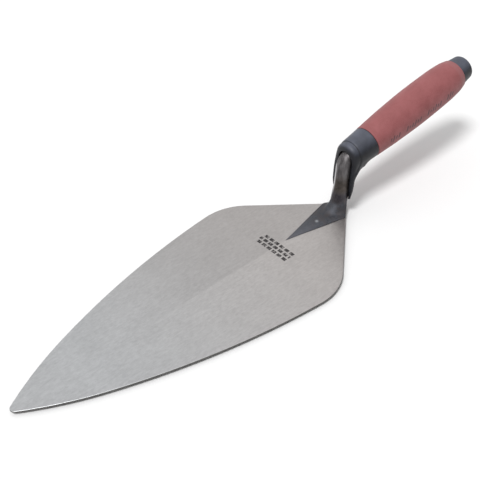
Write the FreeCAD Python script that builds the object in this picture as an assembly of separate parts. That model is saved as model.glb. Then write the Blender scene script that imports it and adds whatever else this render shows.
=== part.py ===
import FreeCAD
import Part
import math
import os

# A London pattern brick trowel, resting on the flat underside of its blade.
# Lengths are millimetres and angles are degrees. +X runs from the heel to the tip, +Y to the left
# and +Z up. The origin is on the underside, where the middle line of the shank meets it.

# Blade, seen from above: two straight heel edges, a round shoulder, a long side and a small tip.
BLADE_WIDTH = 124.8
WIDEST_X = 70.8
HEEL_ANGLE = 43.5        # between a heel edge and the middle line
HEEL_ROUND_R = 4.0
SHOULDER_R = 38.0
SHOULDER_SWEEP = 5.4     # turn of the shoulder ahead of the widest place
SIDE_R = 548.0
SIDE_SWEEP = 15.6
NOSE_R = 267.0
TIP_R = 3.5

# Blade, in section: flat below, with two shallow slopes above that meet in a ridge.
RIDGE_Z_HEEL = 2.1       # ridge height at the heel and at the tip
RIDGE_Z_TIP = 1.2
SIDE_SLOPE = 0.0145      # fall of the upper faces towards the edges

# Foot of the shank: a spear point on the blade. Each row is x, half width, side height, crown height.
FOOT_SECTIONS = [
    (-16.0, 12.4, 2.5, 5.6),
    (2.0, 11.5, 2.6, 5.6),
    (14.0, 8.6, 2.7, 5.2),
    (27.0, 5.3, 2.5, 4.2),
    (40.0, 2.4, 2.3, 3.0),
    (50.2, 0.3, 2.0, 2.2),
]
FOOT_BURY = 0.5          # the foot's sections start this far above the underside, inside the blade
FOOT_TOP_SHARE = 0.92    # width at the top of the foot's sides, as a share of its width at the bottom

# Shank: a round bar that leans back, then bends into the line of the handle.
SHANK_LEAN = 14.0        # lean of its lower run, from upright
SHANK_UPPER_LEAN = 7.6
SHANK_KNEE = 20.5        # distance from the origin to the change of lean
FLARE_START = 2.0        # distances from the origin to the sections of the flare into the foot
FLARE_MIDDLE = 6.0
FLARE_END = 11.0
SHANK_R_FOOT = 7.2
SHANK_R_LOW = 5.9
SHANK_R_MID = 5.75
SHANK_R_TOP = 5.45
BEND_R = 9.0
BEND_STEPS = 4           # parts of the bend between its sections
BAR_TAIL = 6.0           # straight run of the bar behind the bend
SHANK_R_TAIL = 4.6

# Handle axis: it starts at the front face of the grip and rises towards the end cap.
GRIP_FRONT_X = -30.6
GRIP_FRONT_Z = 46.3
HANDLE_RISE = 10.2
GRIP_LENGTH = 93.2

# Square, tapered tang inside the handle.
TANG_SIDE_FRONT = 6.8
TANG_SIDE_END = 4.0
TANG_FRONT = 16.0        # where it starts, ahead of the front face of the grip, inside the bar
TANG_BACK = 74.0         # where it ends, behind that face

# Grip: distance back from its front face, and outer radius. The sleeve lies on the core.
GRIP_PROFILE = [(0.0, 12.1), (22.0, 13.5), (50.0, 14.3), (73.0, 14.1), (87.0, 13.0)]
GRIP_END_R = 11.6
GRIP_END_ALONG = 0.62    # middle of the rounded rear end, as shares of its length and of its drop
GRIP_END_DROP = 0.38
SLEEVE_THICKNESS = 2.4

# End cap over the rear spigot of the core.
CAP_R = 10.9
CAP_END_R = 9.75
CAP_LENGTH = 12.1
CAP_ROUND_R = 3.4

# Core spigots into the finger guard and the end cap.
SPIGOT_R = 7.6
FRONT_SPIGOT = 9.0
REAR_SPIGOT = 9.0

# Finger guard: a conical collar, and elliptical sections that turn from the collar down behind the
# shank. Each row is the back point x and z, the front point x and z, and the half width.
COLLAR_R = 12.0
COLLAR_FRONT_R = 10.9
COLLAR_LENGTH = 17.5
HOOD_START = 6.0         # the hood's first section, inside the collar, and its radius
HOOD_START_R = 10.4
GUARD_SECTIONS = [
    (-20.2, 33.9, -14.6, 54.1, 10.5),
    (-17.8, 33.2, -8.8, 52.6, 10.1),
    (-15.9, 32.0, -4.8, 47.0, 9.9),
    (-14.0, 30.0, -2.8, 37.0, 9.8),
    (-12.2, 26.4, -2.4, 29.0, 9.8),
    (-10.8, 21.4, -2.2, 22.5, 9.7),
    (-9.8, 16.0, -2.2, 16.5, 8.7),
    (-9.0, 11.4, -2.6, 12.0, 7.4),
]
# Front of the guard, as points down its side view, and the play around the shank in its channel.
GUARD_FRONT = [(-9.3, 60.0), (-8.6, 50.0), (-8.3, 40.0), (-6.8, 30.0), (-5.5, 20.0), (-5.1, 6.0)]
CHANNEL_PLAY = 0.9
CHANNEL_SHIFT = 0.5

OUTLINE_LIMIT = 400.0    # larger than the trowel, for cutting blocks
CUT_MARGIN = 1.0         # a cutting block passes the solid it cuts by this much


def point(x, y, z):
    return FreeCAD.Vector(x, y, z)


def turned(angle):
    """Unit direction in the side view, `angle` degrees up from +X."""
    return point(math.cos(math.radians(angle)), 0, math.sin(math.radians(angle)))


def polygon(points):
    return Part.makePolygon(points + points[:1])


def loft(wires, ruled=False):
    return Part.makeLoft(wires, True, ruled)


# ---------------------------------------------------------------- blade

def blade_edges(side):
    """Outline of one half of the blade (side +1 or -1), from the heel to the tip."""
    def on_arc(centre_x, centre_y, radius, heading):
        # Headings are degrees turned clockwise from +X on the left half.
        angle = math.radians(heading)
        return point(centre_x + radius * math.sin(angle), side * (centre_y + radius * math.cos(angle)), 0)

    def arc(centre_x, centre_y, radius, start, end):
        middle = (start + end) / 2
        ends = [on_arc(centre_x, centre_y, radius, heading) for heading in (start, middle, end)]
        return Part.Arc(*ends).toShape()

    def next_centre(centre_x, centre_y, radius, heading, next_radius):
        angle = math.radians(heading)
        shift = radius - next_radius
        return centre_x + shift * math.sin(angle), centre_y + shift * math.cos(angle)

    shoulder = (WIDEST_X, BLADE_WIDTH / 2 - SHOULDER_R)
    side_start = SHOULDER_SWEEP
    side_end = SHOULDER_SWEEP + SIDE_SWEEP
    flank = next_centre(*shoulder, SHOULDER_R, side_start, SIDE_R)
    nose = next_centre(*flank, SIDE_R, side_end, NOSE_R)
    # The tip's arc is centred on the middle line, which fixes where the nose's arc ends.
    nose_end = math.degrees(math.acos(-nose[1] / (NOSE_R - TIP_R)))
    tip = next_centre(*nose, NOSE_R, nose_end, TIP_R)

    heel_end = on_arc(*shoulder, SHOULDER_R, -HEEL_ANGLE)
    heel_slope = math.tan(math.radians(HEEL_ANGLE))
    corner_x = heel_end.x - abs(heel_end.y) / heel_slope
    heel_round_x = corner_x + HEEL_ROUND_R / math.sin(math.radians(HEEL_ANGLE))
    heel_start = on_arc(heel_round_x, 0, HEEL_ROUND_R, -HEEL_ANGLE)
    return [
        arc(heel_round_x, 0, HEEL_ROUND_R, -90, -HEEL_ANGLE),
        Part.makeLine(heel_start, heel_end),
        arc(*shoulder, SHOULDER_R, -HEEL_ANGLE, side_start),
        arc(*flank, SIDE_R, side_start, side_end),
        arc(*nose, NOSE_R, side_end, nose_end),
        arc(*tip, TIP_R, nose_end, 90),
    ]


def blade_outline():
    left = blade_edges(1)
    right = blade_edges(-1)
    return Part.Wire(Part.__sortEdges__(left + right))


def blade_block(height):
    return Part.Face(blade_outline()).extrude(point(0, 0, height))


def ridge_roof():
    """Block below the two upper faces of the blade."""
    outline = blade_outline().BoundBox
    half = outline.YMax + CUT_MARGIN
    wires = []
    for x, ridge in ((outline.XMin, RIDGE_Z_HEEL), (outline.XMax, RIDGE_Z_TIP)):
        edge = ridge - SIDE_SLOPE * half
        corners = [(-half, -CUT_MARGIN), (half, -CUT_MARGIN), (half, edge), (0, ridge), (-half, edge)]
        wires.append(polygon([point(x, y, z) for y, z in corners]))
    return loft(wires, ruled=True)


def make_blade():
    return blade_block(RIDGE_Z_HEEL + CUT_MARGIN).common(ridge_roof())


# ---------------------------------------------------------------- shank

def handle_point(back, up=0.0):
    """Point `back` behind the front face of the grip and `up` square to the handle's axis."""
    rearward = turned(180 - HANDLE_RISE)
    upward = turned(90 - HANDLE_RISE)
    return point(GRIP_FRONT_X, 0, GRIP_FRONT_Z) + rearward * back + upward * up


def foot_section(x, half_width, side_height, crown_height):
    low = FOOT_BURY
    bottom_right = point(x, -half_width, low)
    bottom_left = point(x, half_width, low)
    top_right = point(x, -half_width * FOOT_TOP_SHARE, side_height)
    top_left = point(x, half_width * FOOT_TOP_SHARE, side_height)
    crown = Part.Arc(top_left, point(x, 0, crown_height), top_right).toShape()
    return Part.Wire([
        Part.makeLine(bottom_right, bottom_left),
        Part.makeLine(bottom_left, top_left),
        crown,
        Part.makeLine(top_right, bottom_right),
    ])


def make_foot():
    body = loft([foot_section(*row) for row in FOOT_SECTIONS], ruled=True)
    return body.common(blade_block(FOOT_SECTIONS[0][3] + CUT_MARGIN))


def shank_stations():
    """Centre, direction and radius of the bar's sections, from the foot to the handle's axis."""
    lower = turned(90 + SHANK_LEAN)
    upper = turned(90 + SHANK_UPPER_LEAN)
    rearward = turned(180 - HANDLE_RISE)
    knee = lower * SHANK_KNEE
    # The upper run meets the handle's axis at the corner that the bend rounds off.
    front = handle_point(0)
    across = upper.x * rearward.z - upper.z * rearward.x
    gap = front - knee
    run = (gap.x * rearward.z - gap.z * rearward.x) / across
    corner = knee + upper * run
    turn = 180 - HANDLE_RISE - 90 - SHANK_UPPER_LEAN
    setback = BEND_R * math.tan(math.radians(turn / 2))
    bend_start = corner - upper * setback
    inward = point(-upper.z, 0, upper.x)
    centre = bend_start + inward * BEND_R

    stations = [
        (lower * FLARE_START, lower, SHANK_R_FOOT),
        (lower * FLARE_MIDDLE, lower, (SHANK_R_FOOT + SHANK_R_LOW) / 2),
        (lower * FLARE_END, lower, SHANK_R_LOW),
        (knee, (lower + upper).normalize(), SHANK_R_MID),
    ]
    for step in range(BEND_STEPS + 1):
        angle = 90 + SHANK_UPPER_LEAN + turn * step / BEND_STEPS
        direction = turned(angle)
        outward = turned(angle - 90)
        stations.append((centre + outward * BEND_R, direction, SHANK_R_TOP))
    last = stations[-1][0]
    stations.append((last + rearward * BAR_TAIL, rearward, SHANK_R_TAIL))
    return stations


def make_bar(play=0.0, shift=0.0):
    """The round bar. With `play` it is the wider room around the bar, moved forward by `shift`."""
    wires = []
    for centre, direction, radius in shank_stations():
        forward = point(direction.z, 0, -direction.x)
        wires.append(Part.Wire(Part.Circle(centre + forward * shift, direction, radius + play).toShape()))
    return loft(wires)


def square_section(back, side):
    half = side / 2
    corners = [(half, half), (-half, half), (-half, -half), (half, -half)]
    points = [handle_point(back, up) + point(0, y, 0) for y, up in corners]
    return polygon(points)


def make_tang():
    ends = [square_section(-TANG_FRONT, TANG_SIDE_FRONT), square_section(TANG_BACK, TANG_SIDE_END)]
    return loft(ends, ruled=True)


def make_shank(blade):
    forging = make_foot().fuse(make_bar()).fuse(make_tang())
    return forging.cut(blade).removeSplitter()


# ---------------------------------------------------------------- handle

def turn_about_handle(profile):
    """Solid of revolution from wires of (distance back, radius) about the handle's axis."""
    solid = Part.Face(profile).revolve(point(0, 0, 0), point(1, 0, 0), 360)
    rearward = turned(180 - HANDLE_RISE)
    solid.Placement = FreeCAD.Placement(handle_point(0), FreeCAD.Rotation(point(1, 0, 0), rearward))
    return solid


def flat(back, radius):
    return point(back, radius, 0)


def grip_curve(inset, end_back):
    """Outer curve of the grip, moved in by `inset`, with its rear end at `end_back`."""
    points = [flat(back, radius - inset) for back, radius in GRIP_PROFILE]
    curve = Part.BSplineCurve()
    curve.interpolate(points)
    shoulder = curve.toShape()
    last = points[-1]
    end = flat(end_back, GRIP_END_R - inset)
    middle = flat(last.x + (end.x - last.x) * GRIP_END_ALONG, last.y - (last.y - end.y) * GRIP_END_DROP)
    return [shoulder, Part.Arc(last, middle, end).toShape()]


def make_grip_sleeve():
    outer = grip_curve(0.0, GRIP_LENGTH)
    inner = grip_curve(SLEEVE_THICKNESS, GRIP_LENGTH)
    front = Part.makeLine(flat(0, GRIP_PROFILE[0][1] - SLEEVE_THICKNESS), flat(0, GRIP_PROFILE[0][1]))
    rear = Part.makeLine(flat(GRIP_LENGTH, GRIP_END_R), flat(GRIP_LENGTH, GRIP_END_R - SLEEVE_THICKNESS))
    return turn_about_handle(Part.Wire(Part.__sortEdges__(outer + [rear] + inner + [front])))


def make_handle_core(shank):
    body = grip_curve(SLEEVE_THICKNESS, GRIP_LENGTH)
    start = flat(0, GRIP_PROFILE[0][1] - SLEEVE_THICKNESS)
    end = flat(GRIP_LENGTH, GRIP_END_R - SLEEVE_THICKNESS)
    corners = [
        end,
        flat(GRIP_LENGTH, SPIGOT_R),
        flat(GRIP_LENGTH + REAR_SPIGOT, SPIGOT_R),
        flat(GRIP_LENGTH + REAR_SPIGOT, 0),
        flat(-FRONT_SPIGOT, 0),
        flat(-FRONT_SPIGOT, SPIGOT_R),
        flat(0, SPIGOT_R),
        start,
    ]
    sides = [Part.makeLine(a, b) for a, b in zip(corners, corners[1:])]
    core = turn_about_handle(Part.Wire(Part.__sortEdges__(body + sides)))
    return core.cut(shank)


def make_end_cap():
    start = GRIP_LENGTH
    end = GRIP_LENGTH + CAP_LENGTH
    inner_end = GRIP_LENGTH + REAR_SPIGOT
    corner_start = flat(end - CAP_ROUND_R, CAP_END_R)
    corner_end = flat(end, CAP_END_R - CAP_ROUND_R)
    corner_middle = flat(
        end - CAP_ROUND_R * (1 - math.sin(math.radians(45))),
        CAP_END_R - CAP_ROUND_R * (1 - math.cos(math.radians(45))),
    )
    edges = [
        Part.makeLine(flat(start, SPIGOT_R), flat(start, CAP_R)),
        Part.makeLine(flat(start, CAP_R), corner_start),
        Part.Arc(corner_start, corner_middle, corner_end).toShape(),
        Part.makeLine(corner_end, flat(end, 0)),
        Part.makeLine(flat(end, 0), flat(inner_end, 0)),
        Part.makeLine(flat(inner_end, 0), flat(inner_end, SPIGOT_R)),
        Part.makeLine(flat(inner_end, SPIGOT_R), flat(start, SPIGOT_R)),
    ]
    return turn_about_handle(Part.Wire(edges))


# ---------------------------------------------------------------- finger guard

def ellipse_wire(back, front, half_width):
    """Elliptical section across the side view, from its back point to its front point."""
    centre = (back + front) * 0.5
    half_length = (front - back) * 0.5
    half_across = point(0, half_width, 0)
    directions = [half_length, half_across, half_length * -1, half_across * -1]
    quarters = []
    for step in range(4):
        start = directions[step]
        end = directions[(step + 1) % 4]
        quarter = Part.BezierCurve()
        quarter.setPoles([centre + start, centre + start + end, centre + end])
        quarter.setWeight(2, math.sqrt(0.5))
        quarters.append(quarter.toShape())
    return Part.Wire(quarters)


def make_collar():
    corners = [flat(0, 0), flat(0, COLLAR_R), flat(-COLLAR_LENGTH, COLLAR_FRONT_R), flat(-COLLAR_LENGTH, 0)]
    return turn_about_handle(polygon(corners))


def make_hood():
    axis_point = handle_point(-HOOD_START)
    upward = turned(90 - HANDLE_RISE) * HOOD_START_R
    wires = [ellipse_wire(axis_point - upward, axis_point + upward, HOOD_START_R)]
    for back_x, back_z, front_x, front_z, half_width in GUARD_SECTIONS:
        wires.append(ellipse_wire(point(back_x, 0, back_z), point(front_x, 0, front_z), half_width))
    return loft(wires)


def front_block():
    """Block ahead of the guard's front face."""
    curve = Part.BSplineCurve()
    points = [point(x, -OUTLINE_LIMIT / 2, z) for x, z in GUARD_FRONT]
    curve.interpolate(points)
    top = point(OUTLINE_LIMIT / 2, -OUTLINE_LIMIT / 2, points[0].z)
    bottom = point(OUTLINE_LIMIT / 2, -OUTLINE_LIMIT / 2, points[-1].z)
    edges = [
        curve.toShape(),
        Part.makeLine(points[-1], bottom),
        Part.makeLine(bottom, top),
        Part.makeLine(top, points[0]),
    ]
    return Part.Face(Part.Wire(edges)).extrude(point(0, OUTLINE_LIMIT, 0))


def make_finger_guard(shank, core):
    body = make_collar().fuse(make_hood()).cut(front_block()).cut(make_bar(CHANNEL_PLAY, CHANNEL_SHIFT))
    return body.cut(core).cut(shank)


def main():
    os.makedirs("parts", exist_ok=True)
    blade = make_blade()
    shank = make_shank(blade)
    core = make_handle_core(shank)
    nodes = {
        "blade": blade,
        "shank": shank,
        "handle_core": core,
        "finger_guard": make_finger_guard(shank, core),
        "grip_sleeve": make_grip_sleeve(),
        "end_cap": make_end_cap(),
    }
    for name, shape in nodes.items():
        box = shape.BoundBox
        print(name, shape.ShapeType, len(shape.Solids), shape.isValid(), round(shape.Volume, 1),
              [round(v, 2) for v in (box.XMin, box.YMin, box.ZMin, box.XMax, box.YMax, box.ZMax)])
        shape.exportStep("parts/" + name + ".step")


main()
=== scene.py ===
import math

import bpy
import numpy as np
from mathutils import Matrix, Vector


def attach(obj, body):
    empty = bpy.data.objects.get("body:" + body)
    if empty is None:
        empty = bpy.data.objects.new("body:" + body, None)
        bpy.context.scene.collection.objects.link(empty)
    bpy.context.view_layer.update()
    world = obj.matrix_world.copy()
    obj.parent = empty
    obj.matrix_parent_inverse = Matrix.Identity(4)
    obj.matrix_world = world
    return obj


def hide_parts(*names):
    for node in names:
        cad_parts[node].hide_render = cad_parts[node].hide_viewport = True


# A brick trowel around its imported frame. Shapes are worked out in millimetres in the frame's axes:
# +X from the heel to the tip, +Y to the left, +Z up, with the origin under the foot of the shank.

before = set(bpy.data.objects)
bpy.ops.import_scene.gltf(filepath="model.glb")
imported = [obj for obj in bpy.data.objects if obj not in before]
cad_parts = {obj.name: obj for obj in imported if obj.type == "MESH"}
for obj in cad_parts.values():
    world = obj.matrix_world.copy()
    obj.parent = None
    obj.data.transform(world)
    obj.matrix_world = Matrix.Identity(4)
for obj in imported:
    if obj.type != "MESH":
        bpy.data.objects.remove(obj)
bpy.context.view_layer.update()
MM = 0.001
WELD_DISTANCE = 1e-6        # metres: closer vertices of a piece become one

# ---------------------------------------------------------------- sizes, as in the frame

BLADE_WIDTH = 124.8
WIDEST_X = 70.8
HEEL_ANGLE = 43.5
HEEL_ROUND_R = 4.0
SHOULDER_R = 38.0
SHOULDER_SWEEP = 5.4
SIDE_R = 548.0
SIDE_SWEEP = 15.6
NOSE_R = 267.0
TIP_R = 3.5
RIDGE_Z_HEEL = 2.1
RIDGE_Z_TIP = 1.15
SIDE_SLOPE = 0.0145

SPEAR_TIP_X = 50.2
SPEAR_HALF_WIDTH = 11.3      # where the heel edges cut the foot's sides
# Foot's upper face: x, half width, height of its sides above the blade, and rise of its crown.
FOOT_PLATE = (
    (-16.0, 12.2, 0.3, 1.2),
    (2.0, 11.6, 0.4, 1.8),
    (14.0, 8.6, 0.5, 2.1),
    (27.0, 5.5, 0.4, 1.7),
    (40.0, 2.5, 0.2, 0.8),
    (50.2, 0.4, 0.1, 0.1),
)
FOOT_FILLET = (2.0, 10.0)    # reach of the rounding between the shank and its foot, aside and ahead
SHANK_LEAN = 14.0
SHANK_UPPER_LEAN = 7.6
SHANK_KNEE = 20.5
SHANK_RADII = ((8.8, 5.9), (15.0, 5.9), (19.0, 5.85), (24.0, 5.6), (29.0, 5.5), (36.0, 5.45))
BEND_R = 9.0
TANG_SIDE_FRONT = 6.8
TANG_SIDE_END = 4.0
TANG_BACK = 74.0

GRIP_FRONT = (-30.6, 46.3)   # x and z of the handle's axis at the front of the grip
HANDLE_RISE = 10.2
GRIP_LENGTH = 93.2
GRIP_PROFILE = ((0.0, 12.1), (22.0, 13.5), (50.0, 14.3), (73.0, 14.0), (87.0, 13.0), (93.2, 11.6))
SLEEVE_THICKNESS = 2.4
CAP_R = 10.9
CAP_END_R = 9.7
CAP_LENGTH = 12.05
CAP_ROUND_R = 3.4
SPIGOT_R = 7.6

COLLAR_R = 12.0
COLLAR_FRONT_R = 10.9
COLLAR_LENGTH = 17.5
HOOD_START = 6.0
HOOD_START_R = 10.4
GUARD_SECTIONS = (
    (-20.2, 33.9, -14.6, 54.1, 10.5),
    (-17.8, 33.2, -8.8, 52.6, 10.1),
    (-15.9, 32.0, -4.8, 47.0, 9.9),
    (-14.0, 30.0, -2.8, 37.0, 9.8),
    (-12.2, 26.4, -2.4, 29.0, 9.8),
    (-10.8, 21.4, -2.2, 22.5, 9.7),
    (-9.8, 16.0, -2.2, 16.5, 8.7),
    (-9.0, 11.4, -2.6, 12.0, 7.4),
)
GUARD_FRONT = ((-9.3, 60.0), (-8.6, 50.0), (-8.3, 40.0), (-6.8, 30.0), (-5.5, 20.0), (-5.1, 6.0))
CHANNEL_PLAY = 0.75
CHANNEL_SHIFT = 0.45
HOOD_OFFSET = 0.3            # the hood sits this far to the right of the shank's middle
GROOVE_R = 0.75              # groove round the front of the collar, where the hood begins
WEB_R = 7.0                  # rounding between the collar and the guard, below
EDGE_GAIN = 0.35             # added to the guard's width, which the rounding of its edges takes off again


# ---------------------------------------------------------------- small helpers

def turned(angle):
    """Unit (x, z) direction in the side view, `angle` degrees up from +X."""
    return np.array([math.cos(math.radians(angle)), math.sin(math.radians(angle))])


REARWARD = turned(180 - HANDLE_RISE)
UPWARD = turned(90 - HANDLE_RISE)


def handle_point(back, up=0.0):
    """(x, z) at `back` behind the front of the grip and `up` square to the handle's axis."""
    return np.array(GRIP_FRONT) + REARWARD * back + UPWARD * up


def smooth_curve(knots, values, at):
    """Smooth cubic through (knots, values), read at `at` (monotone where the values are)."""
    knots = np.asarray(knots, float)
    values = np.asarray(values, float)
    widths = np.diff(knots)
    rises = np.diff(values) / widths
    slopes = np.zeros(len(knots))
    slopes[0] = rises[0]
    slopes[-1] = rises[-1]
    for i in range(1, len(knots) - 1):
        if rises[i - 1] * rises[i] > 0:
            weight = (widths[i - 1] + 2 * widths[i]) / (3 * (widths[i - 1] + widths[i]))
            slopes[i] = rises[i - 1] * rises[i] / (weight * rises[i] + (1 - weight) * rises[i - 1])
    at = np.clip(np.asarray(at, float), knots[0], knots[-1])
    i = np.clip(np.searchsorted(knots, at, side="right") - 1, 0, len(widths) - 1)
    t = (at - knots[i]) / widths[i]
    square = t * t
    cube = square * t
    return (
        values[i] * (2 * cube - 3 * square + 1)
        + slopes[i] * widths[i] * (cube - 2 * square + t)
        + values[i + 1] * (3 * square - 2 * cube)
        + slopes[i + 1] * widths[i] * (cube - square)
    )


def smooth_max(a, b, k):
    """Larger of a and b, with the corner between them rounded over `k`."""
    overlap = np.maximum(k - np.abs(a - b), 0) / k
    return np.maximum(a, b) + overlap * overlap * k / 4


def smooth_min(a, b, k):
    return -smooth_max(-a, -b, k)


def make_piece(name, vertices, faces, material, node):
    """A mesh piece from millimetre vertices, riding on the one body and standing for a CAD node."""
    mesh = bpy.data.meshes.new(name)
    in_metres = [tuple(v * MM for v in p) for p in vertices]
    mesh.from_pydata(in_metres, [], [tuple(int(i) for i in f) for f in faces])
    mesh.validate()
    piece = bpy.data.objects.new(name, mesh)
    bpy.context.scene.collection.objects.link(piece)
    bpy.context.view_layer.objects.active = piece
    for other in bpy.context.selected_objects:
        other.select_set(False)
    piece.select_set(True)
    bpy.ops.object.mode_set(mode="EDIT")
    bpy.ops.mesh.select_all(action="SELECT")
    bpy.ops.mesh.remove_doubles(threshold=WELD_DISTANCE)
    bpy.ops.mesh.normals_make_consistent(inside=False)
    bpy.ops.object.mode_set(mode="OBJECT")
    for polygon in mesh.polygons:
        polygon.use_smooth = True
    mesh.materials.append(material)
    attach(piece, "root")
    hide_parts(node)
    return piece


def grid_faces(rows, columns, closed=True, offset=0):
    """Quads of a grid of `rows` rings with `columns` points each."""
    faces = []
    last = columns if closed else columns - 1
    for r in range(rows - 1):
        for c in range(last):
            d = (c + 1) % columns
            faces.append((offset + r * columns + c, offset + r * columns + d,
                          offset + (r + 1) * columns + d, offset + (r + 1) * columns + c))
    return faces


# ---------------------------------------------------------------- materials

class Nodes:
    """Short names for building one material's node tree."""

    def __init__(self, name):
        self.material = bpy.data.materials.new(name)
        self.material.use_nodes = True
        self.tree = self.material.node_tree
        self.shader = self.tree.nodes["Principled BSDF"]
        coordinates = self.tree.nodes.new("ShaderNodeTexCoord")
        self.place = coordinates.outputs["Object"]
        self.normal = coordinates.outputs["Normal"]

    def link(self, output, socket):
        self.tree.links.new(output, socket)

    def feed(self, value, socket):
        if isinstance(value, bpy.types.NodeSocket):
            self.link(value, socket)
        else:
            socket.default_value = value

    def mapping(self, scale, turn=0.0):
        """Places on the part, turned about Z by `turn` degrees and scaled."""
        node = self.tree.nodes.new("ShaderNodeMapping")
        node.inputs["Scale"].default_value = scale
        node.inputs["Rotation"].default_value = (0, 0, math.radians(turn))
        self.link(self.place, node.inputs["Vector"])
        return node.outputs["Vector"]

    def noise(self, scale, detail=3.0, roughness=0.5, source=None):
        node = self.tree.nodes.new("ShaderNodeTexNoise")
        node.inputs["Scale"].default_value = scale
        node.inputs["Detail"].default_value = detail
        node.inputs["Roughness"].default_value = roughness
        self.link(source or self.place, node.inputs["Vector"])
        return node.outputs["Fac"]

    def math(self, operation, a, b=0.0):
        node = self.tree.nodes.new("ShaderNodeMath")
        node.operation = operation
        for value, socket in zip((a, b), node.inputs):
            self.feed(value, socket)
        return node.outputs["Value"]

    def fit(self, value, low, high, to_low=0.0, to_high=1.0, smooth=False):
        """`value` from low..high, clamped, onto to_low..to_high."""
        node = self.tree.nodes.new("ShaderNodeMapRange")
        node.interpolation_type = "SMOOTHSTEP" if smooth else "LINEAR"
        self.feed(value, node.inputs["Value"])
        node.inputs["From Min"].default_value = low
        node.inputs["From Max"].default_value = high
        node.inputs["To Min"].default_value = to_low
        node.inputs["To Max"].default_value = to_high
        return node.outputs["Result"]

    def mix(self, factor, a, b):
        node = self.tree.nodes.new("ShaderNodeMix")
        node.data_type = "RGBA"
        self.feed(factor, node.inputs["Factor"])
        for value, socket in ((a, node.inputs["A"]), (b, node.inputs["B"])):
            if isinstance(value, bpy.types.NodeSocket):
                self.link(value, socket)
            else:
                socket.default_value = (*value, 1.0)
        return node.outputs["Result"]

    def along(self, direction, origin=(0, 0, 0)):
        """Distance in millimetres from `origin` along a unit direction."""
        node = self.tree.nodes.new("ShaderNodeVectorMath")
        node.operation = "DOT_PRODUCT"
        self.link(self.place, node.inputs[0])
        node.inputs[1].default_value = [v / MM for v in direction]
        return self.math("SUBTRACT", node.outputs["Value"], float(np.dot(direction, origin)))

    def distance_from(self, centre):
        """Distance in millimetres from a place on the part."""
        node = self.tree.nodes.new("ShaderNodeVectorMath")
        node.operation = "DISTANCE"
        self.link(self.place, node.inputs[0])
        node.inputs[1].default_value = [v * MM for v in centre]
        return self.math("DIVIDE", node.outputs["Value"], MM)

    def along_normal(self, direction):
        """How far the surface faces a unit direction."""
        node = self.tree.nodes.new("ShaderNodeVectorMath")
        node.operation = "DOT_PRODUCT"
        self.link(self.normal, node.inputs[0])
        node.inputs[1].default_value = direction
        return node.outputs["Value"]

    def facing_up(self):
        """How far the surface faces +Z."""
        return self.along_normal((0, 0, 1))

    def inside(self, value, low, high, blur=0.0):
        """1 between low and high, 0 outside, with edges `blur` wide."""
        if blur == 0.0:
            above = self.math("GREATER_THAN", value, low)
            return self.math("MULTIPLY", above, self.math("LESS_THAN", value, high))
        rise = self.fit(value, low, low + blur, smooth=True)
        fall = self.fit(value, high - blur, high, 1.0, 0.0, smooth=True)
        return self.math("MULTIPLY", rise, fall)

    def bump(self, height, distance, strength):
        """A normal bumped by `height`, with `distance` in metres."""
        node = self.tree.nodes.new("ShaderNodeBump")
        node.inputs["Distance"].default_value = distance
        node.inputs["Strength"].default_value = strength
        self.link(height, node.inputs["Height"])
        return node.outputs["Normal"]

    def finish(self, color, roughness, metallic, normal, specular=0.5):
        self.link(color, self.shader.inputs["Base Color"])
        self.link(roughness, self.shader.inputs["Roughness"])
        self.link(normal, self.shader.inputs["Normal"])
        self.shader.inputs["Metallic"].default_value = metallic
        self.shader.inputs["Specular IOR Level"].default_value = specular
        return self.material


MARK_X = (54.5, 65.5)        # brick-bond mark on the blade, in millimetres
MARK_HALF_WIDTH = 15.6
MARK_COURSES = 3
MARK_BRICK = 5.2
MARK_JOINT = (0.30, 0.26)    # joints between the bricks, as shares of a course and of a brick
FACET_FADE = (95.0, 190.0)   # where the painted shade on the far ground face fades out, as the two faces run into one another
NICK = (188.4, -39.6)        # x and y of a dark nick in the far edge


def brick_mark(n):
    """Mask of a small stamped brick-bond patch ahead of the foot: 1 on its bricks."""
    x = n.along((1, 0, 0))
    y = n.along((0, 1, 0))
    course_height = (MARK_X[1] - MARK_X[0]) / MARK_COURSES
    rise = n.math("DIVIDE", n.math("SUBTRACT", x, MARK_X[0]), course_height)
    course = n.math("FLOOR", rise)
    across = n.math("ADD", n.math("DIVIDE", y, MARK_BRICK), n.math("MULTIPLY", course, 0.5))
    brick = n.math("FRACT", n.math("ADD", across, 20.0))
    mask = n.math("MULTIPLY", n.math("GREATER_THAN", n.math("FRACT", rise), MARK_JOINT[0]),
                  n.math("GREATER_THAN", brick, MARK_JOINT[1]))
    mask = n.math("MULTIPLY", mask, n.inside(x, *MARK_X))
    mask = n.math("MULTIPLY", mask, n.inside(y, -MARK_HALF_WIDTH, MARK_HALF_WIDTH))
    mask = n.math("MULTIPLY", mask, n.math("GREATER_THAN", n.facing_up(), 0.5))
    worn = n.fit(n.noise(750.0, 2.0), 0.32, 0.48, 0.35, 1.0)
    return n.math("MULTIPLY", mask, worn)


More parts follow.
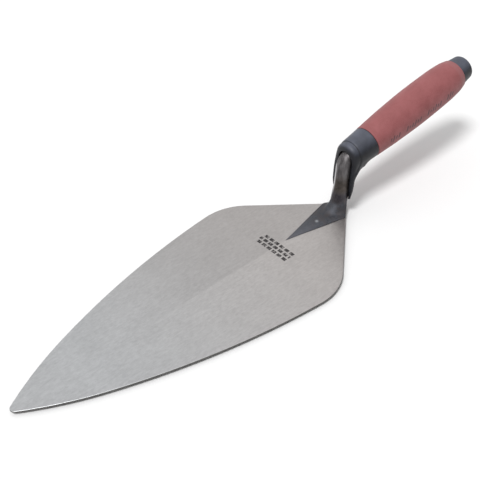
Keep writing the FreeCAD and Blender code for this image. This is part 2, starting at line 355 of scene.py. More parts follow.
def ground_steel():
    """Satin steel, ground along its two faces: fine crossing marks, a faint mottle, a painted reflection
    that runs from warm by the heel to cool by the tip, and painted shade on the far face and the edges.
    """
    n = Nodes("ground_steel")
    marks = None
    for angle, scale in ((28.0, 1.0), (-17.0, 0.8), (74.0, 0.7)):
        turned_place = n.mapping((60.0, 1500.0, 60.0), angle)
        streaks = n.noise(scale, 4.0, 0.65, turned_place)
        marks = streaks if marks is None else n.math("ADD", marks, streaks)
    marks = n.math("DIVIDE", marks, 3.0)
    grain = n.noise(1.0, 4.0, 0.7, n.mapping((330.0, 620.0, 400.0), 30.0))
    mottle = n.noise(38.0, 3.0, 0.5)
    tone = n.math("ADD", n.math("MULTIPLY", marks, 0.4), n.math("MULTIPLY", grain, 0.45))
    tone = n.math("ADD", tone, n.math("MULTIPLY", mottle, 0.15))
    x = n.along((1, 0, 0))
    y = n.along((0, 1, 0))
    # Painted reflection: the steel is tinted warm by the heel and cool towards the tip.
    warm = n.mix(n.fit(tone, 0.38, 0.62), (0.515, 0.485, 0.472), (0.655, 0.622, 0.607))
    cool = n.mix(n.fit(tone, 0.38, 0.62), (0.48, 0.488, 0.497), (0.615, 0.624, 0.637))
    color = n.mix(n.fit(x, 20.0, 230.0, smooth=True), warm, cool)
    # Painted shade: the far ground face is darker, most of all by the heel.
    far_side = n.fit(y, -0.5, 0.5, 1.0, 0.0)
    far_face_painted_shade = n.math("MULTIPLY", far_side, n.fit(x, *FACET_FADE, 1.0, 0.0, smooth=True))
    color = n.mix(n.math("MULTIPLY", far_face_painted_shade, 0.16), color, (0.18, 0.18, 0.185))
    # Painted shade: the edges, which face away from up, are darkened; the dark nick shares this colour.
    edge = n.fit(n.facing_up(), 0.55, 0.9, 1.0, 0.0)
    reach = n.math("SQRT", n.math("ADD", n.math("POWER", n.math("SUBTRACT", x, NICK[0]), 2.0),
                                  n.math("POWER", n.math("SUBTRACT", y, NICK[1]), 2.0)))
    nick = n.fit(reach, 0.5, 1.0, 1.0, 0.0)
    color = n.mix(n.math("MAXIMUM", n.math("MULTIPLY", edge, 0.85), nick), color, (0.07, 0.065, 0.06))
    mark = brick_mark(n)
    color = n.mix(n.math("MULTIPLY", mark, 0.9), color, (0.03, 0.028, 0.03))
    roughness = n.math("ADD", n.fit(tone, 0.36, 0.64, 0.34, 0.46), n.math("MULTIPLY", mark, 0.2))
    height = n.math("SUBTRACT", tone, n.math("MULTIPLY", mark, 2.0))
    return n.finish(color, roughness, 1.0, n.bump(height, 0.00003, 0.5))


FOOT_HIGHLIGHT_SPOT = (21.8, 1.9, 4.2)    # a painted highlight on the foot's crown
HIGHLIGHT_STRIP_SIDE = (0.84, -0.54, 0.0)   # the way that the painted highlight strip down the shank faces
HIGHLIGHT_STRIP_Z = (14.0, 43.0)


def forged_steel():
    """Dark forging scale on the foot, browner up the shank and lighter towards its top, with a painted
    highlight spot on the foot and a painted highlight strip down the shank.
    """
    n = Nodes("forged_steel")
    x = n.along((1, 0, 0))
    z = n.along((0, 0, 1))
    patches = n.noise(190.0, 4.0, 0.65)
    pits = n.noise(1000.0, 3.0, 0.65)
    drawn = n.noise(1.0, 3.0, 0.6, n.mapping((480.0, 480.0, 75.0)))
    scale_color = n.mix(n.fit(pits, 0.36, 0.66), (0.058, 0.061, 0.071), (0.105, 0.109, 0.124))
    scale_color = n.mix(n.fit(patches, 0.45, 0.60), scale_color, (0.090, 0.084, 0.090))
    scale_color = n.mix(n.fit(x, 14.0, 42.0, 0.0, 0.55), scale_color, (0.175, 0.18, 0.205))
    # Painted highlight: a bright spot on the crown of the foot.
    foot_highlight_spot = n.fit(n.distance_from(FOOT_HIGHLIGHT_SPOT), 0.2, 1.9, 1.0, 0.0, smooth=True)
    scale_color = n.mix(foot_highlight_spot, scale_color, (0.33, 0.34, 0.36))
    dark_band = n.mix(n.fit(patches, 0.38, 0.62), (0.040, 0.036, 0.043), (0.080, 0.074, 0.080))
    brown = n.mix(n.fit(patches, 0.36, 0.62), (0.052, 0.045, 0.040), (0.098, 0.084, 0.076))
    bare = n.mix(n.fit(drawn, 0.38, 0.66), (0.078, 0.072, 0.075), (0.18, 0.171, 0.174))
    color = n.mix(n.fit(z, 8.0, 13.0, smooth=True), scale_color, dark_band)
    color = n.mix(n.fit(z, 16.0, 21.0, smooth=True), color, brown)
    color = n.mix(n.fit(z, 25.0, 35.0, smooth=True), color, bare)
    # Painted highlight: a bright strip where the shank faces one way, over part of its height.
    highlight_strip = n.fit(n.along_normal(HIGHLIGHT_STRIP_SIDE), 0.92, 0.98)
    highlight_strip = n.math("MULTIPLY", highlight_strip, n.inside(z, *HIGHLIGHT_STRIP_Z, 5.0))
    color = n.mix(highlight_strip, color, (0.50, 0.49, 0.50))
    roughness = n.math("ADD", n.fit(pits, 0.3, 0.7, 0.42, 0.56), n.fit(z, 6.0, 14.0, 0.14, 0.0))
    height = n.math("ADD", n.math("MULTIPLY", patches, 1.2), n.math("MULTIPLY", pits, 0.5))
    height = n.math("ADD", height, n.math("MULTIPLY", drawn, 0.4))
    return n.finish(color, roughness, 0.85, n.bump(height, 0.00022, 0.5))


def dark_rubber():
    """Moulded slate-black rubber: a satin skin, lighter where it faces up, which is painted light."""
    n = Nodes("dark_rubber")
    skin = n.noise(3200.0, 2.0, 0.5)
    cloud = n.noise(90.0, 3.0, 0.55)
    color = n.mix(n.fit(cloud, 0.35, 0.65), (0.007, 0.0075, 0.010), (0.012, 0.013, 0.018))
    # Painted light: faces that look up are lighter and a little rougher.
    painted_top_light = n.fit(n.facing_up(), 0.2, 0.95, smooth=True)
    painted_top_light = n.math("MULTIPLY", painted_top_light, n.fit(cloud, 0.3, 0.7, 0.6, 1.0))
    color = n.mix(painted_top_light, color, (0.100, 0.108, 0.138))
    roughness = n.math("ADD", n.fit(skin, 0.3, 0.7, 0.34, 0.44), n.math("MULTIPLY", painted_top_light, 0.08))
    return n.finish(color, roughness, 0.0, n.bump(skin, 0.00004, 0.5), specular=0.32)


PRINT_SPAN = (11.0, 77.0)    # printed dashes: distance back along the grip, in millimetres
PRINT_ANGLE = 92.0           # and degrees round from its top, on the left
PRINT_PITCH = 2.7
PRINT_WIDTH = 0.40           # width of a dash, as a share of the pitch
PRINT_SLANT = 0.10           # millimetres back along the grip for each degree round it
PRINT_HALF_LENGTH = (4.0, 7.0)     # shortest half length of a dash in degrees, and the most added to it
PRINT_GROUP = 8.0            # dashes in a group, counting the gap behind it
PRINT_GROUP_GAP = 0.2


def printed_dashes(n, back, around):
    """Mask of a row of slanted dashes of mixed lengths, with gaps between groups of them."""
    offset = n.math("SUBTRACT", around, PRINT_ANGLE)
    slanted = n.math("ADD", back, n.math("MULTIPLY", offset, PRINT_SLANT))
    slanted = n.math("DIVIDE", slanted, PRINT_PITCH)
    index = n.math("FLOOR", slanted)
    mixed = n.math("FRACT", n.math("MULTIPLY", index, 0.37))
    length = n.math("ADD", PRINT_HALF_LENGTH[0], n.math("MULTIPLY", mixed, PRINT_HALF_LENGTH[1]))
    in_group = n.math("FRACT", n.math("DIVIDE", index, PRINT_GROUP))
    mask = n.math("LESS_THAN", n.math("FRACT", slanted), PRINT_WIDTH)
    mask = n.math("MULTIPLY", mask, n.math("LESS_THAN", n.math("ABSOLUTE", offset), length))
    mask = n.math("MULTIPLY", mask, n.math("GREATER_THAN", in_group, PRINT_GROUP_GAP))
    return n.math("MULTIPLY", mask, n.inside(back, *PRINT_SPAN))


def red_rubber():
    """Soft brick-red grip with a dusty, slightly mottled skin and a row of printed dashes."""
    n = Nodes("red_rubber")
    origin = (GRIP_FRONT[0], 0.0, GRIP_FRONT[1])
    back = n.along((REARWARD[0], 0.0, REARWARD[1]), origin)
    up = n.along((UPWARD[0], 0.0, UPWARD[1]), origin)
    around = n.math("DEGREES", n.math("ARCTAN2", n.along((0, 1, 0)), up))
    skin = n.noise(2600.0, 3.0, 0.6)
    cloud = n.noise(85.0, 5.0, 0.7)
    color = n.mix(n.fit(cloud, 0.36, 0.64), (0.195, 0.046, 0.047), (0.265, 0.076, 0.079))
    color = n.mix(n.fit(skin, 0.45, 0.75, 0.0, 0.3), color, (0.36, 0.19, 0.19))
    lit_side = n.fit(n.facing_up(), 0.0, 1.0, smooth=True)
    color = n.mix(n.math("MULTIPLY", lit_side, 0.35), color, (0.37, 0.125, 0.128))
    rear_ring = n.inside(back, GRIP_LENGTH - 7.0, GRIP_LENGTH + 1.0, 3.0)
    color = n.mix(n.math("MULTIPLY", rear_ring, 0.12), color, (0.34, 0.22, 0.22))
    dashes = n.math("MULTIPLY", printed_dashes(n, back, around), n.fit(skin, 0.35, 0.55, 0.6, 0.95))
    color = n.mix(dashes, color, (0.030, 0.018, 0.028))
    n.shader.inputs["Sheen Weight"].default_value = 0.12
    n.shader.inputs["Sheen Roughness"].default_value = 0.5
    roughness = n.fit(skin, 0.3, 0.7, 0.55, 0.70)
    return n.finish(color, roughness, 0.0, n.bump(skin, 0.00007, 0.6), specular=0.35)


def core_plastic():
    """Plain moulded plastic, for the core inside the handle."""
    n = Nodes("core_plastic")
    grain = n.noise(1500.0, 2.0, 0.5)
    color = n.mix(grain, (0.045, 0.05, 0.06), (0.06, 0.065, 0.075))
    return n.finish(color, n.fit(grain, 0.3, 0.7, 0.45, 0.55), 0.0, n.bump(grain, 0.00003, 0.4))


# ---------------------------------------------------------------- blade

def half_outline():
    """(x, y) points and outward normals down the left half of the blade, from heel to tip."""
    def arc(centre, radius, start, end, count):
        headings = np.radians(np.linspace(start, end, count))
        normals = np.stack([np.sin(headings), np.cos(headings)], 1)
        return np.array(centre) + radius * normals, normals

    def next_centre(centre, radius, heading, next_radius):
        shift = radius - next_radius
        angle = math.radians(heading)
        return (centre[0] + shift * math.sin(angle), centre[1] + shift * math.cos(angle))

    shoulder = (WIDEST_X, BLADE_WIDTH / 2 - SHOULDER_R)
    side_end = SHOULDER_SWEEP + SIDE_SWEEP
    flank = next_centre(shoulder, SHOULDER_R, SHOULDER_SWEEP, SIDE_R)
    nose = next_centre(flank, SIDE_R, side_end, NOSE_R)
    nose_end = math.degrees(math.acos(-nose[1] / (NOSE_R - TIP_R)))
    tip = next_centre(nose, NOSE_R, nose_end, TIP_R)
    heel_end = arc(shoulder, SHOULDER_R, -HEEL_ANGLE, -HEEL_ANGLE, 1)[0][0]
    corner_x = heel_end[0] - heel_end[1] / math.tan(math.radians(HEEL_ANGLE))
    heel_centre = (corner_x + HEEL_ROUND_R / math.sin(math.radians(HEEL_ANGLE)), 0.0)
    parts = [arc(heel_centre, HEEL_ROUND_R, -90, -HEEL_ANGLE, 9)]
    steps = np.linspace(0, 1, 56)[1:-1, None]
    start = parts[0][0][-1]
    line = start + (heel_end - start) * steps
    parts.append((line, np.repeat(parts[0][1][-1:], len(line), 0)))
    parts.append(arc(shoulder, SHOULDER_R, -HEEL_ANGLE, SHOULDER_SWEEP, 40))
    parts.append(arc(flank, SIDE_R, SHOULDER_SWEEP, side_end, 90))
    parts.append(arc(nose, NOSE_R, side_end, nose_end, 50))
    parts.append(arc(tip, TIP_R, nose_end, 90, 16))
    points = np.concatenate([p for p, _ in parts])
    normals = np.concatenate([m for _, m in parts])
    keep = np.r_[True, np.hypot(*np.diff(points, axis=0).T) > 1e-6]
    return points[keep], normals[keep], heel_centre[0], tip[0]


RIDGE_SPAN = (-10.0, 270.0)  # x over which the ridge falls from its heel height to its tip height
RIDGE_SOFT_SPAN = (60.0, 170.0)    # x over which it goes from crisp to soft
RIDGE_SOFTNESS = (0.2, 26.0)


def blade_top(x, y):
    """Height of the upper face: two slopes from a ridge that is crisp by the foot and dies away."""
    share = np.clip((x - RIDGE_SPAN[0]) / (RIDGE_SPAN[1] - RIDGE_SPAN[0]), 0, 1)
    ridge = RIDGE_Z_HEEL + (RIDGE_Z_TIP - RIDGE_Z_HEEL) * share
    soft_run = RIDGE_SOFT_SPAN[1] - RIDGE_SOFT_SPAN[0]
    softened = np.clip((x - RIDGE_SOFT_SPAN[0]) / soft_run, 0, 1)
    softness = RIDGE_SOFTNESS[0] + RIDGE_SOFTNESS[1] * softened ** 2
    rounded = np.sqrt(np.square(y) + softness ** 2) - softness
    return ridge - SIDE_SLOPE * rounded


EDGE_PLAY = 0.03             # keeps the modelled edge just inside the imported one
EDGE_R = 0.42                # rounding of the upper edge, and of the lower one
UNDER_R = 0.15
FACE_ROWS = 30


def make_blade():
    outline, normals, heel_x, tip_x = half_outline()
    outline = outline - normals * EDGE_PLAY
    spread = np.linspace(0, 1, FACE_ROWS) ** 1.35
    centre = np.stack([np.clip(outline[:, 0], heel_x, tip_x), np.zeros(len(outline))], 1)
    inset = outline - normals * EDGE_R
    low = outline - normals * UNDER_R
    vertices = []
    faces = []
    for side in (1, -1):
        rings = []

        def add_ring(flat, height):
            heights = np.broadcast_to(height, len(flat))
            rings.append(np.column_stack([flat[:, 0], side * flat[:, 1], heights]))

        for s in spread:
            flat = centre + (inset - centre) * s
            add_ring(flat, blade_top(flat[:, 0], flat[:, 1]))
        top_edge = rings[-1][:, 2]
        for angle in np.radians((22.5, 45.0, 67.5, 90.0)):
            add_ring(inset + normals * EDGE_R * math.sin(angle), top_edge - EDGE_R * (1 - math.cos(angle)))
        for angle in np.radians((0.0, 45.0, 90.0)):
            add_ring(outline - normals * UNDER_R * (1 - math.cos(angle)), UNDER_R * (1 - math.sin(angle)))
        for s in np.linspace(1, 0, 8)[1:]:
            add_ring(centre + (low - centre) * s, 0.0)
        offset = len(vertices)
        for ring in rings:
            vertices.extend(ring.tolist())
        faces.extend(grid_faces(len(rings), len(outline), closed=False, offset=offset))
    return make_piece("ground_blade", vertices, faces, ground_steel(), "blade")


# ---------------------------------------------------------------- shank

RING = 120                   # points round the shank
BAR_SQUARENESS = 2.2         # 2 is a round section, and larger numbers are squarer
TANG_SQUARENESS = 9.0
KNEE_BLEND = 5.0             # height over which the lean changes, above and below the knee
STATION_STEP = 0.8
BEND_STEPS = 14
# Behind the bend: distance, radius and squareness, down to the size of the tang.
BAR_TAIL = ((3.0, 5.0, 2.3), (6.0, 4.6, 2.6), (9.0, 4.2, 3.4), (12.0, 3.9, 5.0))
TANG_FRONT = 16.0            # start of the tang's taper, ahead of the front of the grip


def shank_path():
    """Centre (x, z), direction angle, radius and squareness of the bar's sections above the foot."""
    lower = turned(90 + SHANK_LEAN)
    upper = turned(90 + SHANK_UPPER_LEAN)
    knee = lower * SHANK_KNEE
    gap = np.array(GRIP_FRONT) - knee
    across = upper[0] * REARWARD[1] - upper[1] * REARWARD[0]
    run = (gap[0] * REARWARD[1] - gap[1] * REARWARD[0]) / across
    corner = knee + upper * run
    turn = 90 - HANDLE_RISE - SHANK_UPPER_LEAN
    setback = BEND_R * math.tan(math.radians(turn / 2))
    bend_start = corner - upper * setback
    centre = bend_start + np.array([-upper[1], upper[0]]) * BEND_R
    heights, radii = zip(*SHANK_RADII)
    stations = []
    for z in np.arange(heights[0], bend_start[1], STATION_STEP):
        low = np.array([-z * math.tan(math.radians(SHANK_LEAN)), z])
        high = knee + upper * ((z - knee[1]) / upper[1])
        share = smooth_curve((knee[1] - KNEE_BLEND, knee[1] + KNEE_BLEND), (0.0, 1.0), z)
        share = share * share * (3 - 2 * share)
        lean = SHANK_LEAN + (SHANK_UPPER_LEAN - SHANK_LEAN) * share
        radius = float(smooth_curve(heights, radii, z))
        stations.append((low + (high - low) * share, 90 + lean, radius, BAR_SQUARENESS))
    for step in range(BEND_STEPS + 1):
        angle = 90 + SHANK_UPPER_LEAN + turn * step / BEND_STEPS
        stations.append((centre + turned(angle - 90) * BEND_R, angle, radii[-1], BAR_SQUARENESS))
    rear = stations[-1][0]
    for distance, radius, squareness in BAR_TAIL:
        stations.append((rear + REARWARD * distance, 180 - HANDLE_RISE, radius, squareness))
    for back in np.linspace(-2.0, TANG_BACK, 24):
        share = (back + TANG_FRONT) / (TANG_BACK + TANG_FRONT)
        half = (TANG_SIDE_FRONT + (TANG_SIDE_END - TANG_SIDE_FRONT) * share) / 2
        stations.append((handle_point(back), 180 - HANDLE_RISE, half, TANG_SQUARENESS))
    return stations


def round_section(centre, angle, radius, squareness):
    """Ring of a rounded-square bar in the plane across `angle`, its first point at the front."""
    turns = 2 * math.pi * np.arange(RING) / RING
    powers = np.abs(np.cos(turns)) ** squareness + np.abs(np.sin(turns)) ** squareness
    reach = radius / powers ** (1 / squareness)
    outward = turned(angle - 90)
    forward = reach * np.cos(turns)
    x = centre[0] + outward[0] * forward
    z = centre[1] + outward[1] * forward
    return np.column_stack([x, reach * np.sin(turns), z])


FOOT_INSET = 0.12            # the foot stops this far inside the heel edges
SPEAR_ROOT_X = 2.0           # where the spear's width is measured
SPEAR_SHARE = 0.62           # share of the foot's points that go to its spear
FOOT_SINK = 0.3              # how far the foot reaches down into the blade


def foot_outline():
    """(x, y) ring of the foot on the blade: a spear in front, the heel edges behind."""
    outline, normals, _, _ = half_outline()
    edge = outline - normals * FOOT_INSET
    heel = edge[edge[:, 0] < WIDEST_X - SHOULDER_R]
    spear_slope = SPEAR_HALF_WIDTH / (SPEAR_TIP_X - SPEAR_ROOT_X)
    on_spear = spear_slope * (SPEAR_TIP_X - heel[:, 0])
    cut = int(np.argmax(heel[:, 1] > on_spear))
    corner = heel[cut]
    half = RING // 2
    spear_count = int(half * SPEAR_SHARE)
    shares = np.linspace(0, 1, spear_count + 1) ** 1.25
    tip = np.array([SPEAR_TIP_X, 0.0])
    spear = tip + (corner - tip) * shares[:, None]
    back = heel[:cut + 1][::-1]
    lengths = np.r_[0, np.cumsum(np.hypot(*np.diff(back, axis=0).T))]
    at = np.linspace(0, lengths[-1], half - spear_count + 1)[1:]
    back = np.column_stack([np.interp(at, lengths, back[:, k]) for k in (0, 1)])
    left = np.concatenate([spear, back])
    right = left[1:-1][::-1] * np.array([1, -1])
    return np.concatenate([left, right])


def foot_plate(x, y):
    """Height of the foot's upper face: low walls at its sides and a rounded crown between them."""
    stations, half_widths, walls, crowns = zip(*FOOT_PLATE)
    half = smooth_curve(stations, half_widths, x)
    share = np.clip(np.abs(y) / half, 0, 1)
    wall = smooth_curve(stations, walls, x)
    crown = smooth_curve(stations, crowns, x)
    return blade_top(x, y) + wall + crown * (1 - share ** 2)


def make_shank():
    outline = foot_outline()
    stations = shank_path()
    root = round_section(*stations[0])
    rings = []
    surface = blade_top(outline[:, 0], outline[:, 1])
    centre = outline.mean(0)
    for s in (0.0, 0.35, 0.7):
        inner = centre + (outline - centre) * s
        rings.append(np.column_stack([inner, blade_top(inner[:, 0], inner[:, 1]) - FOOT_SINK]))
    rings.append(np.column_stack([outline, surface - FOOT_SINK]))
    for s in np.linspace(0, 1, 64) ** 0.8:
        flat = outline + (root[:, :2] - outline) * s
        plate = foot_plate(flat[:, 0], flat[:, 1])
        away = np.hypot(*(flat - root[:, :2]).T)
        toward_tip = np.clip((flat[:, 0] - root[:, 0]) / np.maximum(away, 1e-6), 0, 1)
        reach = FOOT_FILLET[0] + (FOOT_FILLET[1] - FOOT_FILLET[0]) * toward_tip ** 2
        rise = np.clip(1 - away / reach, 0, 1) ** 2.3
        height = plate + (root[:, 2] - plate) * rise
        if s == 0.0:
            rings.append(np.column_stack([flat, surface + (height - surface) * 0.75]))
            flat = outline + (root[:, :2] - outline) * 0.004
        rings.append(np.column_stack([flat, height]))
    for station in stations[1:]:
        rings.append(round_section(*station))
    tip = stations[-1][0]
    rings.append(np.tile([tip[0], 0.0, tip[1]], (RING, 1)))
    vertices = np.concatenate(rings)
    faces = grid_faces(len(rings), RING)
    return make_piece("forged_shank", vertices.tolist(), faces, forged_steel(), "shank")


# ---------------------------------------------------------------- finger guard

def surface_nets(field, origin, step):
    """Vertices and quads of the zero surface of a sampled field that is negative inside."""
    shape = np.array(field.shape)
    cells = shape - 1
    total = np.zeros((*cells, 3))
    count = np.zeros(cells)
    corners = [(i, j, k) for i in (0, 1) for j in (0, 1) for k in (0, 1)]

    def at(corner):
        i, j, k = corner
        return field[i:i + cells[0], j:j + cells[1], k:k + cells[2]]

    for a in corners:
        for axis in range(3):
            if a[axis] == 1:
                continue
            b = list(a)
            b[axis] = 1
            fa = at(a)
            fb = at(b)
            crossing = (fa < 0) != (fb < 0)
            share = np.where(crossing, fa / np.where(crossing, fa - fb, 1.0), 0.0)
            for d in range(3):
                total[..., d] += np.where(crossing, a[d] + (share if d == axis else 0.0), 0.0)
            count += crossing
    active = count > 0
    index = np.full(cells, -1)
    index[active] = np.arange(active.sum())
    places = np.argwhere(active) + total[active] / count[active][:, None]
    vertices = np.array(origin) + places * step
    faces = []
    for axis in range(3):
        p = (axis + 1) % 3
        q = (axis + 2) % 3
        first = np.take(field, range(shape[axis] - 1), axis) < 0
        second = np.take(field, range(1, shape[axis]), axis) < 0
        changed = np.argwhere(first != second)
        inner = (changed[:, p] > 0) & (changed[:, q] > 0)
        inner &= (changed[:, p] < shape[p] - 1) & (changed[:, q] < shape[q] - 1)
        changed = changed[inner]
        rising = first[tuple(changed.T)]
        quad = []
        for dp, dq in ((-1, -1), (0, -1), (0, 0), (-1, 0)):
            cell = changed.copy()
            cell[:, p] += dp
            cell[:, q] += dq
            quad.append(index[tuple(cell.T)])
        quad = np.stack(quad, 1)
        quad[~rising] = quad[~rising][:, ::-1]
        faces.append(quad)
    return vertices, np.concatenate(faces)


def hood_field(x, z, y):
    """Signed size outside the hood and guard, whose sections turn from the collar down the shank."""
    start = handle_point(-HOOD_START)
    first_row = (*(start - UPWARD * HOOD_START_R), *(start + UPWARD * HOOD_START_R), HOOD_START_R)
    rows = np.array([first_row, *GUARD_SECTIONS])
    rows[1:, 4] += EDGE_GAIN
    knots = np.arange(len(rows))
    samples = np.linspace(0, knots[-1], 220)
    table = np.stack([smooth_curve(knots, rows[:, c], samples) for c in range(5)], 1)
    back = table[:, :2]
    front = table[:, 2:4]
    reach = np.hypot(*(front - back).T)
    along = (front - back) / reach[:, None]
    best_u = np.full(x.shape, 1e3)
    best_a = np.ones(x.shape)
    best_b = np.ones(x.shape)

    def side_of(i):
        return -(x - back[i, 0]) * along[i, 1] + (z - back[i, 1]) * along[i, 0]

    def offer(mask, u, a, b):
        better = mask & (np.abs(u) / a < np.abs(best_u) / best_a)
        best_u[better] = u[better] if np.ndim(u) else u
        best_a[better] = a[better] if np.ndim(a) else a
        best_b[better] = b[better] if np.ndim(b) else b

    before = side_of(0)
    for i in range(len(samples) - 1):
        after = side_of(i + 1)
        mask = (before >= 0) != (after >= 0)
        share = np.where(mask, before / np.where(mask, before - after, 1.0), 0.0)
        bx = back[i, 0] + (back[i + 1, 0] - back[i, 0]) * share
        bz = back[i, 1] + (back[i + 1, 1] - back[i, 1]) * share
        fx = front[i, 0] + (front[i + 1, 0] - front[i, 0]) * share
        fz = front[i, 1] + (front[i + 1, 1] - front[i, 1]) * share
        a = np.hypot(fx - bx, fz - bz) / 2
        u = ((x - (bx + fx) / 2) * (fx - bx) + (z - (bz + fz) / 2) * (fz - bz)) / (2 * a)
        offer(mask, u, a, table[i, 4] + (table[i + 1, 4] - table[i, 4]) * share)
        before = after
    middle = (back[-1] + front[-1]) / 2
    end_u = (x - middle[0]) * along[-1, 0] + (z - middle[1]) * along[-1, 1]
    past_end = side_of(len(samples) - 1)
    below = (z < back[-1, 1] + 1.0) & (past_end < 0)
    offer(below, end_u, np.full(x.shape, reach[-1] / 2), np.full(x.shape, table[-1, 4]))
    ellipse = np.sqrt(np.square(best_u / best_a)[:, None, :] + np.square(y / best_b[:, None, :])) - 1
    return ellipse * np.minimum(best_a, best_b)[:, None, :], past_end


ROUND_LIMIT = 3.0            # sections squarer than this belong to the tang, behind the channel


def channel_distance(x, z):
    """Distance in the side view to the shank's centre line moved forward, and its radius there."""
    nearest = np.full(x.shape, 1e3)
    radius_there = np.ones(x.shape)
    fine = []
    stations = [s for s in shank_path() if s[3] < ROUND_LIMIT]
    foot = (np.array([0.0, 0.0]), 90 + SHANK_LEAN, SHANK_RADII[0][1], BAR_SQUARENESS)
    for (c0, a0, r0, _), (c1, a1, r1, _) in zip([foot] + stations, stations):
        for share in np.linspace(0, 1, 4):
            angle = a0 + (a1 - a0) * share
            centre = c0 + (c1 - c0) * share + turned(angle - 90) * CHANNEL_SHIFT
            fine.append((centre, r0 + (r1 - r0) * share + CHANNEL_PLAY))
    for centre, radius in fine:
        distance = np.hypot(x - centre[0], z - centre[1])
        closer = distance < nearest
        nearest[closer] = distance[closer]
        radius_there[closer] = radius
    return nearest, radius_there


FIELD_STEP = 0.4
FIELD_LOW = (-34.0, -13.5, 6.0)
FIELD_HIGH = (2.0, 13.5, 61.0)
COLLAR_TILT = 0.16           # slope of the collar's front face
COLLAR_REAR_ROUND = 0.9      # rounding of the guard's edges
COLLAR_FRONT_ROUND = 0.7
GUARD_END_PAST = 0.9
GUARD_END_ROUND = 1.6
CHANNEL_ROUND = 0.7
BORE_DEPTH = 9.0             # of the hole for the core's spigot


def make_finger_guard():
    """Collar, hood and guard as one field, less the channel for the shank and the spigot's hole."""
    xs, ys, zs = [np.arange(a, b, FIELD_STEP) for a, b in zip(FIELD_LOW, FIELD_HIGH)]
    x, z = np.meshgrid(xs, zs, indexing="ij")
    y = ys[None, :, None]
    forward = -((x - GRIP_FRONT[0]) * REARWARD[0] + (z - GRIP_FRONT[1]) * REARWARD[1])
    up = (x - GRIP_FRONT[0]) * UPWARD[0] + (z - GRIP_FRONT[1]) * UPWARD[1]
    radius = np.sqrt(np.square(up)[:, None, :] + np.square(y))
    taper = COLLAR_R + (COLLAR_FRONT_R - COLLAR_R) * forward / COLLAR_LENGTH
    collar_front = forward - (COLLAR_LENGTH - COLLAR_TILT * up)
    collar = smooth_max(radius - taper[:, None, :], -forward[:, None, :], COLLAR_REAR_ROUND)
    collar = smooth_max(collar, collar_front[:, None, :], COLLAR_FRONT_ROUND)
    hood, past_end = hood_field(x, z, y + HOOD_OFFSET)
    hood = smooth_max(hood, -past_end[:, None, :] - GUARD_END_PAST, GUARD_END_ROUND)
    # The two meet in a tight corner, except below and towards the front, where a web fills it.
    web = WEB_R * np.clip((-2.0 - up) / 7.0, 0, 1) ** 1.5 * np.clip((forward - 5.0) / 8.0, 0, 1)
    body = smooth_min(collar, hood, 0.5 + web[:, None, :])
    rim = np.sqrt(np.square(collar_front)[:, None, :] + np.square(radius - taper[:, None, :] + 0.1))
    groove = GROOVE_R * np.clip((up + 6.0) / 6.0, 0, 1)
    body = smooth_max(body, groove[:, None, :] - rim, 0.4)
    front_z, front_x = zip(*sorted((fz, fx) for fx, fz in GUARD_FRONT))
    ahead = x - smooth_curve(front_z, front_x, z) - 0.15
    rounding = 0.8 + 2.2 * np.clip((z - 36.0) / 8.0, 0, 1)
    body = smooth_max(body, ahead[:, None, :], rounding[:, None, :])
    nearest, room = channel_distance(x, z)
    channel = np.sqrt(np.square(nearest)[:, None, :] + np.square(y)) - room[:, None, :]
    body = smooth_max(body, -channel, CHANNEL_ROUND)
    bore = np.maximum(radius - SPIGOT_R, forward[:, None, :] - BORE_DEPTH)
    body = np.maximum(body, -bore)
    beside_grip = ((forward < 0) & (z > 30.0))[:, None, :]
    body = np.where(beside_grip, np.maximum(body, -forward[:, None, :]), body)
    vertices, faces = surface_nets(body, FIELD_LOW, FIELD_STEP)
    piece = make_piece("moulded_guard", vertices.tolist(), faces.tolist(), dark_rubber(),
                       "finger_guard")
    smooth = piece.modifiers.new("smooth", "SMOOTH")
    smooth.factor = 0.5
    smooth.iterations = 2
    bpy.ops.object.modifier_apply(modifier="smooth")
    return piece


# ---------------------------------------------------------------- grip and cap

def revolve(profile, count=144):
    """Vertices and faces of a closed (distance back, radius) profile turned about the handle."""
    profile = np.asarray(profile)
    turns = 2 * math.pi * np.arange(count) / count
    vertices = []
    for back, radius in profile:
        centre = handle_point(back)
        lift = radius * np.cos(turns)
        x = centre[0] + UPWARD[0] * lift
        z = centre[1] + UPWARD[1] * lift
        vertices.append(np.column_stack([x, radius * np.sin(turns), z]))
    faces = []
    rows = len(profile)
    for r in range(rows):
        below = (r + 1) % rows
        for c in range(count):
            d = (c + 1) % count
            faces.append((r * count + c, r * count + d, below * count + d, below * count + c))
    return np.concatenate(vertices), faces


def rounded_corner(centre, radius, start, end, count=6):
    angles = np.radians(np.linspace(start, end, count))
    return [(centre[0] + radius * math.cos(a), centre[1] + radius * math.sin(a)) for a in angles]


def make_grip():
    knots, radii = zip(*GRIP_PROFILE)
    stations = np.linspace(0.5, GRIP_LENGTH - 0.5, 110)
    outer = list(zip(stations, smooth_curve(knots, radii, stations)))
    inner = [(s, r - SLEEVE_THICKNESS) for s, r in outer[::-4]]
    front = rounded_corner((0.5, outer[0][1] - 0.5), 0.5, 180, 100)
    rear = rounded_corner((GRIP_LENGTH - 0.5, outer[-1][1] - 0.5), 0.5, 80, 0)
    profile = front + outer + rear + inner
    vertices, faces = revolve(profile)
    return make_piece("soft_grip", vertices.tolist(), faces, red_rubber(), "grip_sleeve")


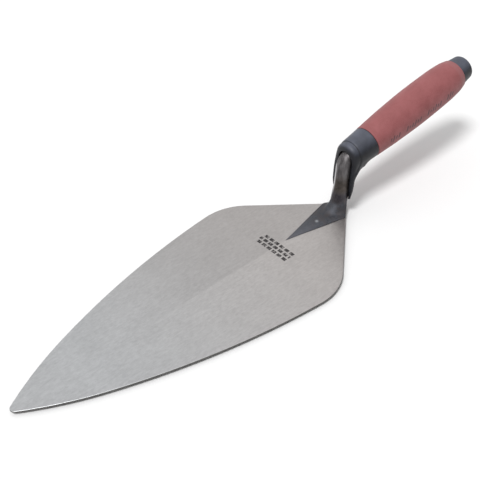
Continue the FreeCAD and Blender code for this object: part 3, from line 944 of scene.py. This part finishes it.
def make_cap():
    end = GRIP_LENGTH + CAP_LENGTH
    corner = rounded_corner((end - CAP_ROUND_R, CAP_END_R - CAP_ROUND_R), CAP_ROUND_R, 85, 0, 10)
    side_back = np.linspace(GRIP_LENGTH + 0.4, end - CAP_ROUND_R - 0.4, 12)
    taper = (CAP_END_R - CAP_R) / (CAP_LENGTH - CAP_ROUND_R)
    side = [(s, CAP_R + taper * (s - GRIP_LENGTH)) for s in side_back]
    face = [(end, r) for r in (4.8, 3.5, 2.0, 1.0, 0.0)]
    inner = [(GRIP_LENGTH + BORE_DEPTH, 0.0), (GRIP_LENGTH + BORE_DEPTH, SPIGOT_R), (GRIP_LENGTH, SPIGOT_R)]
    front = [(GRIP_LENGTH, CAP_R - 0.5), (GRIP_LENGTH + 0.1, CAP_R - 0.15)]
    vertices, faces = revolve(front + side + corner + face + inner)
    return make_piece("moulded_cap", vertices.tolist(), faces, dark_rubber(), "end_cap")


# ---------------------------------------------------------------- stage, lights and camera

CAMERA_PLACE = (347.6, 355.3, 399.9)
CAMERA_AZIMUTH = 54.06       # degrees
CAMERA_ELEVATION = 40.42
CAMERA_ROLL = 5.55
CAMERA_LENS = 64.5


def make_camera():
    data = bpy.data.cameras.new("camera")
    data.lens = CAMERA_LENS
    data.sensor_width = 36.0
    data.clip_start = 0.01
    camera = bpy.data.objects.new("camera", data)
    bpy.context.scene.collection.objects.link(camera)
    azimuth = math.radians(CAMERA_AZIMUTH)
    elevation = math.radians(CAMERA_ELEVATION)
    flat = math.cos(elevation)
    back = Vector((math.cos(azimuth) * flat, math.sin(azimuth) * flat, math.sin(elevation)))
    right = Vector((0, 0, 1)).cross(back).normalized()
    up = back.cross(right)
    turn = Matrix.Rotation(math.radians(-CAMERA_ROLL), 3, back)
    right = turn @ right
    up = turn @ up
    camera.matrix_world = Matrix((
        (right.x, up.x, back.x, CAMERA_PLACE[0] * MM),
        (right.y, up.y, back.y, CAMERA_PLACE[1] * MM),
        (right.z, up.z, back.z, CAMERA_PLACE[2] * MM),
        (0, 0, 0, 1),
    ))
    bpy.context.scene.camera = camera


FLOOR_GAP = 2.2              # the floor lies this far under the blade, for a soft dark edge round it
FLOOR_HALF = 40.0            # metres
KEY_DIRECTION = (0.40, 0.20, 1.0)
KEY_SPREAD = 15.0            # how large the softbox looks, in degrees
KEY_STRENGTH = 2.0
SKY_BRIGHT_SIDE = (0.35, -0.65, 0.67)
SKY_RANGE = (-0.7, 0.95)
SKY_STRENGTH = (0.21, 0.82)


def make_world():
    """A soft white tent, brighter above and behind the trowel than in front of it."""
    world = bpy.data.worlds.new("studio")
    bpy.context.scene.world = world
    world.use_nodes = True
    nodes = world.node_tree.nodes
    links = world.node_tree.links
    coordinates = nodes.new("ShaderNodeTexCoord")
    toward = nodes.new("ShaderNodeVectorMath")
    toward.operation = "DOT_PRODUCT"
    toward.inputs[1].default_value = Vector(SKY_BRIGHT_SIDE).normalized()
    strength = nodes.new("ShaderNodeMapRange")
    strength.interpolation_type = "SMOOTHSTEP"
    strength.inputs["From Min"].default_value = SKY_RANGE[0]
    strength.inputs["From Max"].default_value = SKY_RANGE[1]
    strength.inputs["To Min"].default_value = SKY_STRENGTH[0]
    strength.inputs["To Max"].default_value = SKY_STRENGTH[1]
    links.new(coordinates.outputs["Generated"], toward.inputs[0])
    links.new(toward.outputs["Value"], strength.inputs["Value"])
    links.new(strength.outputs["Result"], nodes["Background"].inputs["Strength"])
    nodes["Background"].inputs["Color"].default_value = (1, 1, 1, 1)


def make_stage():
    """A plain pale floor under a bright tent and one large softbox."""
    mesh = bpy.data.meshes.new("floor")
    corners = [(x * FLOOR_HALF, y * FLOOR_HALF, 0) for x, y in ((-1, -1), (1, -1), (1, 1), (-1, 1))]
    mesh.from_pydata(corners, [], [(0, 1, 2, 3)])
    floor = bpy.data.objects.new("floor", mesh)
    floor.location.z = -FLOOR_GAP * MM
    bpy.context.scene.collection.objects.link(floor)
    material = bpy.data.materials.new("floor")
    material.use_nodes = True
    shader = material.node_tree.nodes["Principled BSDF"]
    shader.inputs["Base Color"].default_value = (0.86, 0.86, 0.86, 1)
    shader.inputs["Roughness"].default_value = 0.9
    shader.inputs["Specular IOR Level"].default_value = 0.1
    mesh.materials.append(material)

    make_world()
    key = bpy.data.lights.new("key", "SUN")
    key.angle = math.radians(KEY_SPREAD)
    key.energy = KEY_STRENGTH
    lamp = bpy.data.objects.new("key", key)
    lamp.rotation_euler = Vector(KEY_DIRECTION).to_track_quat("Z", "Y").to_euler()
    bpy.context.scene.collection.objects.link(lamp)


bpy.context.scene.view_settings.view_transform = "Standard"
make_stage()
make_camera()
make_blade()
make_shank()
make_finger_guard()
make_grip()
make_cap()
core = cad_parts["handle_core"]
core.data.materials.clear()
core.data.materials.append(core_plastic())
